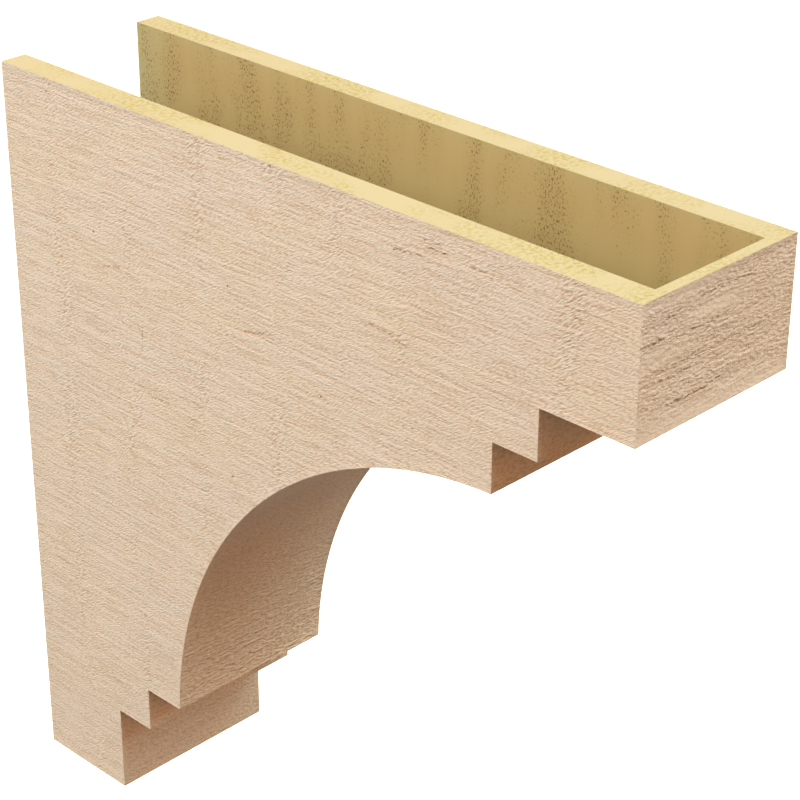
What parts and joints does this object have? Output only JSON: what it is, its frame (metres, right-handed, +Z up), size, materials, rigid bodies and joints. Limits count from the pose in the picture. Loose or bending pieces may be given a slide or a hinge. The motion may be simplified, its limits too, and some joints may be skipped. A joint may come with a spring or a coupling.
{
  "type": "faux cedar corbel",
  "caption": "Stepped corbel bracket with a quarter-round cove: a hollow moulded foam shell with a rough-sawn cedar finish, open at its top and its back.",
  "frame": {"origin": "on the back edge of the skin under the foot, midway across the width and midway through the skin's thickness, in the plane of the wall", "axes": "+Y into the wall that carries the corbel, so its front and nose face -Y; +Z up; +X across the width"},
  "size_m": [0.1524, 0.6096, 0.6096],
  "materials": {
    "cedar_finish_foam": "rigid foam with a matt tan paint over a moulded rough-sawn cedar grain outside, and bare yellow foam inside and on the cut rims"
  },
  "bodies": {
    "root": {"corbel": "cedar_finish_foam"}
  },
  "joints": []
}
